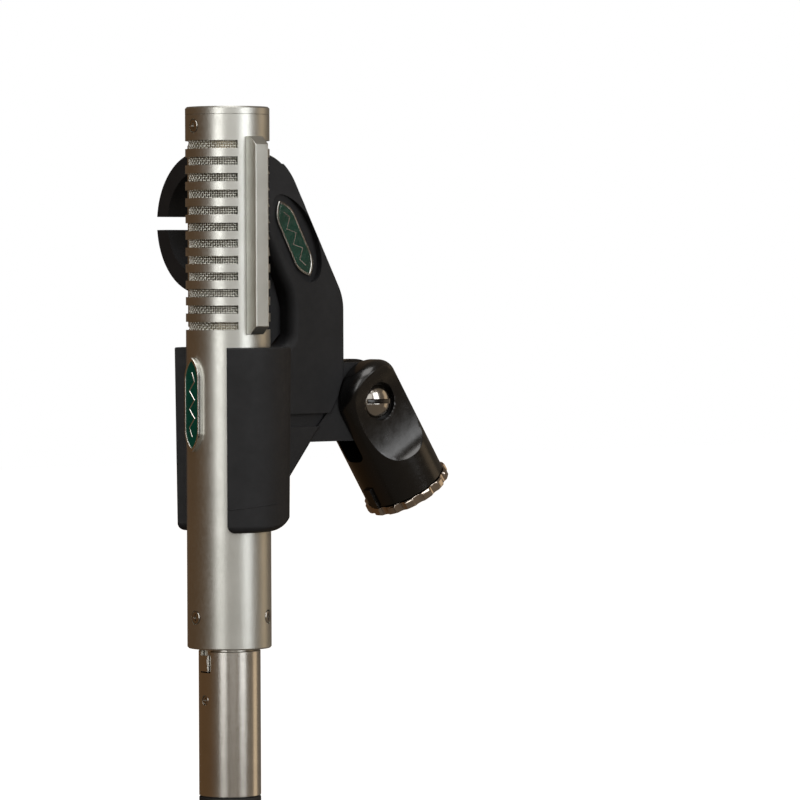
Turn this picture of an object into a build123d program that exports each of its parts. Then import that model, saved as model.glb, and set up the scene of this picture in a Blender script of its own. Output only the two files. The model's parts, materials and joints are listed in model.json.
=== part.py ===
from build123d import *
from math import cos, radians, sin
import os

# Ribbon microphone in a moulded twin-microphone clip with a swivel stand adapter.
# Millimetres, +Z up. The origin is the mouth of the stand thread.
# The microphone faces -Y. Heights named z below are measured from the microphone's bottom face.

# --- placing ---
MIC_X = 19.0
MIC_Y = -84.0
MIC_Z = -42.9
PIVOT_HEIGHT = 33.8       # along the adapter's axis, from the thread mouth
ADAPTER_TILT = 32.2       # the adapter leans from the vertical by this, in degrees
FIT = 0.05                # radial play between fixed pieces
RUNNING = 0.08            # radial play of a turning shaft

# --- microphone tube ---
TUBE_R = 12.5
TUBE_WALL = 0.8
TUBE_BORE = TUBE_R - TUBE_WALL
MIC_LENGTH = 160.0
CAP_BAND = 2.3
SEAM = 0.05
SEAM_CHAMFER = 0.06
SLOT_COUNT = 12
SLOT_PITCH = 4.856
SLOT_HEIGHT = 2.4
SLOT_TOP_Z = 148.8
SLOT_HALF_ANGLE = 67.1
SCREW_SEAT = 12.0
SCREW_HOLE_R = 2.15
SCREW_HEAD_R = 1.85
SCREEN_R = 11.6
TOP_SCREW_Z = 154.3
BOTTOM_SCREW_Z = 9.4
TOP_SCREW_ANGLES = (0, 180)
BOTTOM_SCREW_ANGLES = (0, 120, 240)
SMALL_SHANK = 0.9

# --- field bars on both sides of the tube ---
BAR_WIDTH = 4.8
BAR_FACE = 16.9
BAR_INNER = 10.3
BAR_LOW_Z = 92.9
BAR_HIGH_Z = 151.1
BAR_BEVEL_OUT = 2.8
BAR_BEVEL_UP = 2.4
BAR_EDGE = 0.2

# --- ribbon motor ---
BLOCK_R = 10.9
BLOCK_FLAT = 10.2
BLOCK_THICK = 3.9
BLOCK_LOW_Z = 92.2
BLOCK_HIGH_Z = 151.2
FLUX_LOW_Z = BLOCK_LOW_Z + BLOCK_THICK + FIT
FLUX_HIGH_Z = BLOCK_HIGH_Z - BLOCK_THICK - FIT
POLE_LOW_Z = 101.0
POLE_HIGH_Z = 142.4
RIBBON_WIDTH = 4.7
RIBBON_THICK = 0.06
RIBBON_WAVE = 0.5
RIBBON_PITCH = 1.35
CLAMP_HALF_WIDTH = 6.6
CLAMP_SCREW_X = 4.6
FLUX_SCREW_X = 8.9

# --- transformer ---
TRAY_Z = 56.0
TRAY_THICK = 2.0
PAD_THICK = 1.0
COIL_LOW_Z = 59.1
COIL_HIGH_Z = 73.1
COIL_IN = 3.6
COIL_OUT = 10.6
CORE_MARGIN = 1.9
LEAD_R = 0.5
LEAD_RING = 9.9

# --- connector ---
RING_BORE = 8.1
RING_TOP_Z = 18.0
PIN_CIRCLE = 3.95
PIN_R = 1.2
PIN_ANGLES = (90, 210, 330)
PIN_TIP_Z = 2.6
CUP_TOP_Z = 24.0
NOSE_R = 7.95
NOSE_TOP_Z = 10.2
PLUG_R = 9.2
PLUG_TOP_Z = -0.6
SHELL_END_Z = -44.0
BOOT_END_Z = -64.0
CABLE_BORE = 3.3
LATCH_HALF = 2.0
LATCH_GAP = 0.3

# --- badge on the tube ---
BADGE_LOW_Z = 58.3
BADGE_HIGH_Z = 86.2
BADGE_HALF = 3.35
BADGE_FACE = 13.7
BADGE_POINT = 5.6
BADGE_RIM = 0.5
BADGE_SINK = 0.25

# --- clip ---
CRADLE_LOW_Z = 34.5
CRADLE_HIGH_Z = 89.0
CRADLE_BORE = 12.8
CRADLE_R = 17.4
CRADLE_BACK = 1.5
CRADLE_OPENING = 51.4
CRADLE_TAPER = 0.7
CRADLE_FOOT_ROUND = 7.0
CRADLE_FOOT_SHIFT = 3.0
CRADLE_TIP_ROUND = 2.4
PLATE_BACK_X = -24.0
SLEEVE_X = -36.0
SLEEVE_Z = 126.3
SLEEVE_R = 21.6
SLEEVE_BORE = 15.5
SLEEVE_FRONT_Y = 15.6
SLEEVE_BACK_Y = 39.4
SLEEVE_SLIT = 4.0
PLATE_FACE_X = SLEEVE_X + SLEEVE_R
TONGUE_HALF = 4.0
TONGUE_R = 12.0
BADGE_OVAL_Y = 37.3
BADGE_OVAL_Z = 121.4
BADGE_OVAL_LONG = 14.6
BADGE_OVAL_SHORT = 7.1
BADGE_OVAL_TILT = 27.7
POCKET_DEPTH = 2.2
CLIP_BADGE_LONG = 12.8     # half of the badge's length
WEB_THICK = 4.0
WEB_TOP_Z = 116.0
NECK_LOW_Z = 41.5
NECK_HIGH_Z = 88.8
PLATE_EDGE_ROUND = 1.0
PLATE_FRONT_ROUND = 3.0
GROOVE_DEPTH = 1.6
GROOVE_LOW_Z = 64.2
GROOVE_HIGH_Z = 68.2

# --- swivel adapter ---
YOKE_R = 12.9
YOKE_FOOT = 3.2
YOKE_SLOT_HALF = 4.3
YOKE_SLOT_DROP = 14.3
YOKE_SLOT_ROUND = 2.2
YOKE_CLEAR = 0.35
YOKE_CREST_ROUND = 4.2
TAB_WIDTH = 3.2
TAB_HEIGHT = 6.5
TAB_PROUD = 0.9
INSERT_R = 9.6
THREAD_R = 7.45
THREAD_LENGTH = 12.7
PIVOT_R = 3.0
HEAD_R = 5.0
HEAD_POCKET_R = 5.9
HEAD_SEAT_X = 6.5
HEAD_DOME = 2.7
SCREW_SLOT = 1.4
RECESS_DROP = 4.0
RECESS_LONG = 15.8
RECESS_X = 14.6
RECESS_DEPTH = 6.4
NUT_ACROSS = 8.0
NUT_SEAT_X = -7.6
LOCK_RING_R = 13.9
LOCK_RING_SCALLOPS = 14
SCALLOP_R = 2.6
SCALLOP_DEPTH = 0.9

MIC = Plane((MIC_X, MIC_Y, MIC_Z))
lean = radians(ADAPTER_TILT)
ADAPTER = Plane((0, 0, 0), x_dir=(1, 0, 0), z_dir=(0, -sin(lean), cos(lean)))
PIVOT_Y = -PIVOT_HEIGHT * sin(lean)
PIVOT_Z = PIVOT_HEIGHT * cos(lean)
os.makedirs("parts", exist_ok=True)


def save(piece, label):
    """Name a finished piece and write it."""
    piece.part.label = label
    export_step(piece.part, f"parts/{label}.step")


def front_plane(distance):
    """Plane facing the microphone's front, a distance forward of the tube's axis."""
    return Plane((MIC_X, MIC_Y - distance, MIC_Z), x_dir=(1, 0, 0), z_dir=(0, -1, 0))


def side_plane(x):
    """Plane facing +X. Its local x is Y and its local y is Z, from the microphone's foot."""
    return Plane((MIC_X + x, MIC_Y, MIC_Z), x_dir=(0, 1, 0), z_dir=(1, 0, 0))


def radial_plane(angle, z, radius):
    """Plane facing outward from the tube's axis. Angle 0 is the front."""
    turn = radians(angle)
    outward = (sin(turn), -cos(turn), 0)
    origin = (MIC_X + radius * outward[0], MIC_Y + radius * outward[1], MIC_Z + z)
    return Plane(origin, x_dir=(cos(turn), sin(turn), 0), z_dir=outward)


def wedge(half_angle, reach=40.0):
    """Sketch the sector in front of the tube's axis, half_angle to each side of -Y."""
    turn = radians(half_angle)
    side = reach * sin(turn)
    ahead = -reach * cos(turn)
    Polygon((0, 0), (side, ahead), (side, -reach), (-side, -reach), (-side, ahead), align=None)


def rings(name, *rows):
    """Stack plain rings on the tube's axis: each row is outer radius, bore, foot z, top z."""
    with BuildPart() as stack:
        for outer, bore, foot, top in rows:
            with BuildSketch(MIC.offset(foot)):
                Circle(outer)
                if bore:
                    Circle(bore, mode=Mode.SUBTRACT)
            extrude(amount=top - foot)
    save(stack, name)


def cross_screws(name, planes, head_r, head_height, shank_r, length):
    """Screws with a domed head and a cross recess, one for each plane under a head."""
    tops = [plane.offset(head_height) for plane in planes]
    with BuildPart() as screws:
        with BuildSketch(*planes):
            Circle(head_r)
        extrude(amount=head_height)
        fillet(screws.edges().filter_by(GeomType.CIRCLE).filter_by(
            lambda edge: any(abs(top.to_local_coords(edge.arc_center).Z) < 0.01
                             and Vector(*top.to_local_coords(edge.arc_center)).length < 0.01
                             for top in tops)), head_height * 0.6)
        with BuildSketch(*planes):
            Circle(shank_r)
        extrude(amount=-length)
        with BuildSketch(*tops):
            Rectangle(head_r * 1.15, head_r * 0.26)
            Rectangle(head_r * 0.26, head_r * 1.15)
        extrude(amount=-head_height * 0.9, mode=Mode.SUBTRACT)
    save(screws, name)


# --- housing ---

def slot_feet():
    """Heights of the slots' lower edges."""
    return [SLOT_TOP_Z - SLOT_HEIGHT / 2 - step * SLOT_PITCH for step in range(SLOT_COUNT)]


def housing_tube():
    """Slotted tube, with windows for the field bars and seats for the screws."""
    top = MIC_LENGTH - CAP_BAND - SEAM
    seats = [radial_plane(angle, TOP_SCREW_Z, SCREW_SEAT) for angle in TOP_SCREW_ANGLES]
    seats += [radial_plane(angle, BOTTOM_SCREW_Z, SCREW_SEAT) for angle in BOTTOM_SCREW_ANGLES]
    with BuildPart() as tube:
        with BuildSketch(MIC):
            Circle(TUBE_R)
        extrude(amount=top)
        chamfer(tube.edges().filter_by(GeomType.CIRCLE).sort_by(Axis.Z)[0], 0.4)
        chamfer(tube.edges().filter_by(GeomType.CIRCLE).sort_by(Axis.Z)[-1], SEAM_CHAMFER)
        with BuildSketch(MIC):
            Circle(TUBE_BORE)
        extrude(amount=top, mode=Mode.SUBTRACT)
        with BuildSketch(*[MIC.offset(foot) for foot in slot_feet()]):
            wedge(SLOT_HALF_ANGLE)
            mirror(about=Plane.XZ)
        extrude(amount=SLOT_HEIGHT, mode=Mode.SUBTRACT)
        with BuildSketch(MIC.offset(BAR_LOW_Z - FIT)):
            Rectangle(4 * TUBE_R, BAR_WIDTH + 2 * FIT)
        extrude(amount=BAR_HIGH_Z - BAR_LOW_Z + 2 * FIT, mode=Mode.SUBTRACT)
        with BuildSketch(*seats):
            Circle(SCREW_HOLE_R)
        extrude(amount=2, mode=Mode.SUBTRACT)
        with BuildSketch(*seats):
            Circle(SMALL_SHANK + 0.15)
        extrude(amount=-2, mode=Mode.SUBTRACT)
    save(tube, "housing_tube")


def top_cap():
    """Cap with a thin band on show and a spigot that the screws hold."""
    seats = [radial_plane(angle, TOP_SCREW_Z, SCREW_SEAT) for angle in TOP_SCREW_ANGLES]
    with BuildPart() as cap:
        with BuildSketch(MIC.offset(MIC_LENGTH - CAP_BAND)):
            Circle(TUBE_R)
        extrude(amount=CAP_BAND)
        chamfer(cap.edges().filter_by(GeomType.CIRCLE).sort_by(Axis.Z)[-1], 0.5)
        chamfer(cap.edges().filter_by(GeomType.CIRCLE).sort_by(Axis.Z)[0], SEAM_CHAMFER)
        with BuildSketch(MIC.offset(152.5)):
            Circle(TUBE_BORE - FIT)
        extrude(amount=MIC_LENGTH - CAP_BAND - 152.5)
        with BuildSketch(MIC.offset(152.5)):
            Circle(9.0)
        extrude(amount=4.0, mode=Mode.SUBTRACT)
        with BuildSketch(*seats):
            Circle(SMALL_SHANK + FIT)
        extrude(amount=-4, mode=Mode.SUBTRACT)
    save(cap, "top_cap")


def housing_screws():
    """The cap's screws and the connector's screws, sunk in the tube."""
    tops = [radial_plane(angle, TOP_SCREW_Z, SCREW_SEAT) for angle in TOP_SCREW_ANGLES]
    feet = [radial_plane(angle, BOTTOM_SCREW_Z, SCREW_SEAT) for angle in BOTTOM_SCREW_ANGLES]
    cross_screws("top_cap_screws", tops, SCREW_HEAD_R, 0.6, SMALL_SHANK, 2.6)
    cross_screws("base_screws", feet, SCREW_HEAD_R, 0.6, SMALL_SHANK, 2.9)


def side_bar(name, side):
    """Field bar that passes through the tube's window, with sloping ends outside."""
    slope = BAR_FACE - BAR_BEVEL_OUT
    with BuildPart() as bar:
        with BuildSketch(front_plane(-BAR_WIDTH / 2)):
            Polygon(
                (side * BAR_INNER, BAR_LOW_Z),
                (side * slope, BAR_LOW_Z),
                (side * BAR_FACE, BAR_LOW_Z + BAR_BEVEL_UP),
                (side * BAR_FACE, BAR_HIGH_Z - BAR_BEVEL_UP),
                (side * slope, BAR_HIGH_Z),
                (side * BAR_INNER, BAR_HIGH_Z),
                align=None,
            )
        extrude(amount=BAR_WIDTH)
        outer = bar.faces().sort_by(Axis.X)[-1 if side > 0 else 0]
        chamfer(outer.edges().filter_by(Axis.Z), BAR_EDGE)
    save(bar, name)


def screen(name, outer, thick, half_angle, foot, top, back):
    """Curved sheet behind the slots, on the front or on the back."""
    with BuildPart() as sheet:
        with BuildSketch(MIC.offset(foot)):
            wedge(half_angle)
            if back:
                mirror(about=Plane.XZ, mode=Mode.REPLACE)
            Circle(outer, mode=Mode.INTERSECT)
            Circle(outer - thick, mode=Mode.SUBTRACT)
        extrude(amount=top - foot)
    save(sheet, name)


# --- ribbon motor ---

def end_blocks():
    """Brass blocks that close the motor at both ends."""
    for name, foot in (("motor_block_lower", BLOCK_LOW_Z), ("motor_block_upper", BLOCK_HIGH_Z - BLOCK_THICK)):
        with BuildPart() as block:
            with BuildSketch(MIC.offset(foot)):
                Circle(BLOCK_R)
                Rectangle(2 * BLOCK_FLAT, 4 * BLOCK_R, mode=Mode.INTERSECT)
                with Locations((FLUX_SCREW_X, 0), (-FLUX_SCREW_X, 0)):
                    Circle(0.75, mode=Mode.SUBTRACT)
            extrude(amount=BLOCK_THICK)
        save(block, name)


def flux_plate(name, side):
    """Soft iron plate between the magnets and a field bar."""
    with BuildPart() as plate:
        with BuildSketch(MIC.offset(FLUX_LOW_Z)):
            with Locations((side * 9.1, 0)):
                Rectangle(2.2, 7.0)
            with Locations((side * FLUX_SCREW_X, 0)):
                Circle(0.7, mode=Mode.SUBTRACT)
        extrude(amount=FLUX_HIGH_Z - FLUX_LOW_Z)
    save(plate, name)


def magnets(name, side):
    """Two bar magnets, end to end, behind a pole piece."""
    half = (POLE_HIGH_Z - POLE_LOW_Z) / 2
    with BuildPart() as bars:
        with BuildSketch(MIC.offset(POLE_LOW_Z), MIC.offset(POLE_LOW_Z + half + FIT)):
            with Locations((side * 6.28, 0)):
                Rectangle(3.3, 6.4)
        extrude(amount=half - FIT)
    save(bars, name)


def pole_piece(name, side):
    """Pole piece that narrows towards the ribbon."""
    near = RIBBON_WIDTH / 2 + 0.2
    with BuildPart() as pole:
        with BuildSketch(MIC.offset(POLE_LOW_Z)):
            Polygon(
                (side * near, -0.9), (side * near, 0.9),
                (side * 4.55, 3.2), (side * 4.55, -3.2), align=None,
            )
        extrude(amount=POLE_HIGH_Z - POLE_LOW_Z)
    save(pole, name)


def ribbon():
    """Corrugated foil: a zigzag strip, open between the clamps."""
    low = POLE_LOW_Z + 0.1
    steps = 2 * round((POLE_HIGH_Z - low) / RIBBON_PITCH)
    rise = (POLE_HIGH_Z - 0.1 - low) / steps
    swing = RIBBON_WAVE / 2
    front = [(-RIBBON_THICK / 2 + swing * (-1) ** i, low + i * rise) for i in range(steps + 1)]
    back = [(y + RIBBON_THICK, z) for y, z in reversed(front)]
    with BuildPart() as foil:
        with BuildSketch(side_plane(-RIBBON_WIDTH / 2)):
            Polygon(*front, *back, align=None)
        extrude(amount=RIBBON_WIDTH)
    save(foil, "ribbon")


def ribbon_clamps():
    """Seats, tails, clamp bars and screws at both ends of the ribbon."""
    feet = (FLUX_LOW_Z + FIT, FLUX_HIGH_Z - FIT - 4.6)
    rows = (
        ("ribbon_seats", CLAMP_HALF_WIDTH, 0.10, 3.4, True),
        ("ribbon_tails", RIBBON_WIDTH / 2, -0.08, 0.08, False),
        ("ribbon_clamp_bars", CLAMP_HALF_WIDTH, -1.7, -0.10, True),
    )
    for name, half, front, back, drilled in rows:
        with BuildPart() as pieces:
            with BuildSketch(*[MIC.offset(foot) for foot in feet]):
                with Locations((0, (front + back) / 2)):
                    Rectangle(2 * half, back - front)
            extrude(amount=4.6)
            if drilled:
                with BuildSketch(front_plane(5)):
                    with Locations(*[(x, foot + 2.3) for x in (-CLAMP_SCREW_X, CLAMP_SCREW_X) for foot in feet]):
                        Circle(0.65)
                extrude(amount=-10, mode=Mode.SUBTRACT)
        save(pieces, name)
    seats = [Plane((MIC_X + x, MIC_Y - 1.75, MIC_Z + foot + 2.3), x_dir=(1, 0, 0), z_dir=(0, -1, 0))
             for x in (-CLAMP_SCREW_X, CLAMP_SCREW_X) for foot in feet]
    cross_screws("ribbon_clamp_screws", seats, 1.25, 0.8, 0.6, 4.2)


def motor_screws():
    """Screws through the end blocks into the flux plates."""
    spots = [(FLUX_SCREW_X, 0), (-FLUX_SCREW_X, 0)]
    upper = [Plane((MIC_X + x, MIC_Y + y, MIC_Z + BLOCK_HIGH_Z + FIT)) for x, y in spots]
    lower = [Plane((MIC_X + x, MIC_Y + y, MIC_Z + BLOCK_LOW_Z - FIT), x_dir=(1, 0, 0), z_dir=(0, 0, -1))
             for x, y in spots]
    cross_screws("motor_screws", upper + lower, 1.25, 0.8, 0.6, 7.0)


# --- transformer and leads ---

def transformer():
    """Ring core in two open windings, on a tray, held by a bolt between soft pads."""
    mid_r = (COIL_IN + COIL_OUT) / 2
    mid_z = (COIL_LOW_Z + COIL_HIGH_Z) / 2
    side = Plane((MIC_X, MIC_Y, MIC_Z), x_dir=(1, 0, 0), z_dir=(0, -1, 0))
    core_wide = COIL_OUT - COIL_IN - 2 * CORE_MARGIN
    core_high = COIL_HIGH_Z - COIL_LOW_Z - 2 * CORE_MARGIN
    with BuildPart() as core:
        with BuildSketch(side):
            with Locations((mid_r, mid_z)):
                Rectangle(core_wide, core_high)
        revolve(axis=Axis((MIC_X, MIC_Y, 0), (0, 0, 1)))
    save(core, "transformer_core")
    with BuildPart() as coils:
        with BuildSketch(side):
            with Locations((mid_r, mid_z)):
                RectangleRounded(COIL_OUT - COIL_IN, COIL_HIGH_Z - COIL_LOW_Z, 1.7)
                Rectangle(core_wide + 2 * FIT, core_high + 2 * FIT, mode=Mode.SUBTRACT)
        revolve(axis=Axis((MIC_X, MIC_Y, 0), (0, 0, 1)))
        with BuildSketch(MIC.offset(COIL_LOW_Z - 1)):
            Rectangle(3.2, 40)
        extrude(amount=20, mode=Mode.SUBTRACT)
    save(coils, "transformer_windings")
    tray_top = TRAY_Z + TRAY_THICK
    with BuildPart() as tray:
        with BuildSketch(MIC.offset(TRAY_Z)):
            Circle(TUBE_BORE - FIT)
            Circle(1.6, mode=Mode.SUBTRACT)
            with Locations(*[polar(LEAD_RING, angle) for angle in PIN_ANGLES]):
                Circle(LEAD_R + 0.2, mode=Mode.SUBTRACT)
        extrude(amount=TRAY_THICK)
    save(tray, "transformer_tray")
    pad_top = COIL_HIGH_Z + FIT + PAD_THICK
    rings("transformer_pads", (8.0, 1.6, tray_top + 0.02, tray_top + 0.02 + PAD_THICK),
          (8.0, 1.6, COIL_HIGH_Z + FIT, pad_top))
    rings("transformer_washer", (8.0, 1.6, pad_top + FIT, pad_top + 1.0))
    bolt_seat = pad_top + 1.0 + FIT
    with BuildPart() as bolt:
        with BuildSketch(MIC.offset(bolt_seat)):
            RegularPolygon(2.9, 6)
        extrude(amount=2.0)
        with BuildSketch(MIC.offset(bolt_seat)):
            Circle(1.5)
        extrude(amount=-(bolt_seat - TRAY_Z + 3.5))
    save(bolt, "transformer_bolt")
    with BuildPart() as nut:
        with BuildSketch(MIC.offset(TRAY_Z - 2.3)):
            RegularPolygon(2.9, 6)
            Circle(1.5 + 0.02, mode=Mode.SUBTRACT)
        extrude(amount=2.25)
    save(nut, "transformer_nut")


def polar(radius, angle):
    """Point on a circle, by its angle from +X."""
    turn = radians(angle)
    return (radius * cos(turn), radius * sin(turn))


def wire(points, bend):
    """Round wire along straight runs that are joined by arcs."""
    with BuildPart() as lead:
        with BuildLine() as route:
            FilletPolyline(*[MIC.from_local_coords(Vector(*point)) for point in points], radius=bend)
        with BuildSketch(Plane(origin=route.line @ 0, z_dir=route.line % 0)):
            Circle(LEAD_R)
        sweep(path=route.line)
    return lead.part


def leads():
    """Wires from the motor to the windings, and from the windings to the pins."""
    upper = [
        wire([(side * 2.5, 3.5, 92.1), (side * 2.5, 3.5, 85.0), (side * 8.6, 4.4, 79.5),
              (side * 8.6, 4.4, COIL_HIGH_Z + 0.1)], 2.5)
        for side in (-1, 1)
    ]
    lower = [
        wire([(*polar(LEAD_RING, angle), COIL_LOW_Z - 0.1), (*polar(LEAD_RING, angle), 47.0),
              (*polar(PIN_CIRCLE, angle), 36.0), (*polar(PIN_CIRCLE, angle), 20.5)], 5.0)
        for angle in PIN_ANGLES
    ]
    with BuildPart() as motor_leads:
        add(upper)
    save(motor_leads, "motor_leads")
    with BuildPart() as output_leads:
        add(lower)
    save(output_leads, "output_leads")


# --- connector ---

def base_ring():
    """Ring that closes the tube's foot and takes the cable's plug."""
    seats = [radial_plane(angle, BOTTOM_SCREW_Z, SCREW_SEAT) for angle in BOTTOM_SCREW_ANGLES]
    with BuildPart() as ring:
        with BuildSketch(MIC.offset(0.5)):
            Circle(TUBE_BORE - FIT)
            Circle(RING_BORE, mode=Mode.SUBTRACT)
        extrude(amount=RING_TOP_Z - 0.5)
        with BuildSketch(MIC.offset(14.4)):
            Circle(RING_BORE)
            Circle(6.6, mode=Mode.SUBTRACT)
        extrude(amount=RING_TOP_Z - 14.4)
        with BuildSketch(MIC.offset(0.5)):
            with Locations((0, -7.5)):
                Rectangle(2 * (LATCH_HALF + LATCH_GAP), 4.4)
        extrude(amount=6.9, mode=Mode.SUBTRACT)
        with BuildSketch(*seats):
            Circle(SMALL_SHANK + FIT)
        extrude(amount=-3.2, mode=Mode.SUBTRACT)
    save(ring, "base_ring")


def pin_insert():
    """Insulator with three pins, and solder cups above it."""
    spots = [polar(PIN_CIRCLE, angle) for angle in PIN_ANGLES]
    with BuildPart() as insulator:
        with BuildSketch(MIC.offset(10.6)):
            Circle(RING_BORE - FIT)
            with Locations(*spots):
                Circle(PIN_R + 0.02, mode=Mode.SUBTRACT)
        extrude(amount=14.35 - 10.6)
    save(insulator, "pin_insulator")
    with BuildPart() as pins:
        with BuildSketch(MIC.offset(PIN_TIP_Z)):
            with Locations(*spots):
                Circle(PIN_R)
        extrude(amount=CUP_TOP_Z - PIN_TIP_Z)
        fillet(pins.edges().filter_by(GeomType.CIRCLE).group_by(Axis.Z)[0], 0.8)
        with BuildSketch(MIC.offset(14.6)):
            with Locations(*spots):
                Circle(1.6)
        extrude(amount=CUP_TOP_Z - 14.6)
        with BuildSketch(MIC.offset(19.5)):
            with Locations(*spots):
                Circle(0.95)
        extrude(amount=CUP_TOP_Z - 19.5, mode=Mode.SUBTRACT)
    save(pins, "connector_pins")


def plug_shell():
    """Metal shell: a nose inside the microphone and a wider body below it."""
    with BuildPart() as shell:
        with BuildSketch(Plane((MIC_X, MIC_Y, MIC_Z), x_dir=(1, 0, 0), z_dir=(0, -1, 0))):
            Polygon(
                (7.25, NOSE_TOP_Z), (NOSE_R - 0.3, NOSE_TOP_Z), (NOSE_R, NOSE_TOP_Z - 0.4),
                (NOSE_R, PLUG_TOP_Z), (PLUG_R - 0.3, PLUG_TOP_Z), (PLUG_R, PLUG_TOP_Z - 0.3),
                (PLUG_R, SHELL_END_Z + 0.4), (PLUG_R - 0.4, SHELL_END_Z), (8.2, SHELL_END_Z),
                (8.2, -20.0), (7.25, -20.0), align=None,
            )
        revolve(axis=Axis((MIC_X, MIC_Y, 0), (0, 0, 1)))
        with BuildSketch(MIC.offset(-7.1)):
            with Locations((0, -8.5)):
                Rectangle(2 * (LATCH_HALF + LATCH_GAP), 5.0)
        extrude(amount=NOSE_TOP_Z + 7.1 - 2.0, mode=Mode.SUBTRACT)
        with BuildSketch(radial_plane(0, -15.2, 8.5)):
            Circle(1.5)
        extrude(amount=2, mode=Mode.SUBTRACT)
        with BuildSketch(radial_plane(0, -15.2, 8.5)):
            Circle(0.85)
        extrude(amount=-3, mode=Mode.SUBTRACT)
    save(shell, "plug_shell")


def plug_inside():
    """Insulator, contacts, latch, spring, screw, cable clamp and rear boot of the plug."""
    spots = [polar(PIN_CIRCLE, angle) for angle in PIN_ANGLES]
    with BuildPart() as insulator:
        with BuildSketch(MIC.offset(-19.0)):
            Circle(7.2)
            with Locations(*spots):
                Circle(1.9 + FIT, mode=Mode.SUBTRACT)
        extrude(amount=28.8)
        with BuildSketch(MIC.offset(-13.0)):
            with Locations((0, -7.6)):
                Rectangle(2 * (LATCH_HALF + LATCH_GAP), 4.8)
        extrude(amount=25, mode=Mode.SUBTRACT)
        with BuildSketch(radial_plane(0, -15.2, 8.5)):
            Circle(0.85)
        extrude(amount=-3.2, mode=Mode.SUBTRACT)
    save(insulator, "plug_insulator")
    with BuildPart() as contacts:
        with BuildSketch(MIC.offset(-22.0)):
            with Locations(*spots):
                Circle(1.9)
        extrude(amount=31.5)
        with BuildSketch(MIC.offset(0.5)):
            with Locations(*spots):
                Circle(PIN_R + 0.1)
        extrude(amount=9.0, mode=Mode.SUBTRACT)
    save(contacts, "plug_contacts")
    with BuildPart() as latch:
        with BuildSketch(side_plane(-LATCH_HALF)):
            Polygon(
                (-6.9, -6.6), (-6.9, 6.8), (-7.7, 6.8), (-8.9, 5.6), (-8.9, 4.2), (-7.7, 4.2),
                (-7.7, -1.9), (-9.6, -1.9), (-10.0, -3.0), (-9.7, -6.6), align=None,
            )
        extrude(amount=2 * LATCH_HALF)
        fillet(latch.edges().group_by(Axis.Y)[0], 0.15)
    save(latch, "plug_latch")
    with BuildPart() as spring:
        with BuildSketch(front_plane(5.25)):
            with Locations((0, -3.5)):
                Circle(1.1)
                Circle(0.6, mode=Mode.SUBTRACT)
        extrude(amount=1.6)
    save(spring, "latch_spring")
    cross_screws("plug_insert_screw", [radial_plane(0, -15.2, 8.5)], 1.35, 0.55, 0.75, 3.0)
    rings("cable_clamp", (8.1, 3.6, -41.0, -28.0))
    with BuildPart() as boot:
        with BuildSketch(Plane((MIC_X, MIC_Y, MIC_Z), x_dir=(1, 0, 0), z_dir=(0, -1, 0))):
            Polygon(
                (CABLE_BORE, SHELL_END_Z + 2.6), (8.1, SHELL_END_Z + 2.6), (8.1, SHELL_END_Z - 0.1),
                (PLUG_R, SHELL_END_Z - 0.1), (PLUG_R, SHELL_END_Z - 3), (5.6, BOOT_END_Z),
                (CABLE_BORE, BOOT_END_Z), align=None,
            )
        revolve(axis=Axis((MIC_X, MIC_Y, 0), (0, 0, 1)))
        for step in range(4):
            with BuildSketch(MIC.offset(SHELL_END_Z - 6 - 3.6 * step)):
                Circle(PLUG_R + 1)
                Circle(7.6 - 0.62 * step, mode=Mode.SUBTRACT)
            extrude(amount=-1.4, mode=Mode.SUBTRACT)
    save(boot, "cable_boot")


# --- badges ---

def ogive(half, low, high, point):
    """Sketch of a long strip along the local y axis, whose sides curve in to a point at each end."""
    swell = half * 0.86
    mid = point * 0.5
    with BuildSketch() as shape:
        with BuildLine():
            Line((half, low + point), (half, high - point))
            ThreePointArc((half, high - point), (swell * 0.72, high - mid * 0.78), (0, high))
            ThreePointArc((0, high), (-swell * 0.72, high - mid * 0.78), (-half, high - point))
            Line((-half, high - point), (-half, low + point))
            ThreePointArc((-half, low + point), (-swell * 0.72, low + mid * 0.78), (0, low))
            ThreePointArc((0, low), (swell * 0.72, low + mid * 0.78), (half, low + point))
        make_face()
    return shape.sketch


def tube_badge():
    """Frame with a rim, seated on the tube, and the enamel inside the rim."""
    middle = (BADGE_LOW_Z + BADGE_HIGH_Z) / 2
    long = (BADGE_HIGH_Z - BADGE_LOW_Z) / 2
    inner = long - 2 * BADGE_RIM
    point = BADGE_POINT - BADGE_RIM
    with BuildPart() as base:
        with BuildSketch(front_plane(11.0)):
            with Locations((0, middle)):
                add(ogive(BADGE_HALF, -long, long, BADGE_POINT))
        extrude(amount=BADGE_FACE - 11.0)
        with BuildSketch(front_plane(BADGE_FACE)):
            with Locations((0, middle)):
                add(ogive(BADGE_HALF - BADGE_RIM, -inner, inner, point))
        extrude(amount=-0.5, mode=Mode.SUBTRACT)
        with BuildSketch(MIC):
            Circle(TUBE_R + 0.02)
        extrude(amount=MIC_LENGTH, mode=Mode.SUBTRACT)
    save(base, "badge_frame")
    with BuildPart() as enamel:
        with BuildSketch(front_plane(BADGE_FACE - 0.48)):
            with Locations((0, middle)):
                add(ogive(BADGE_HALF - BADGE_RIM - 0.02, 0.02 - inner, inner - 0.02, point))
        extrude(amount=0.48 - BADGE_SINK)
    save(enamel, "badge_enamel")


# --- clip ---

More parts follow.
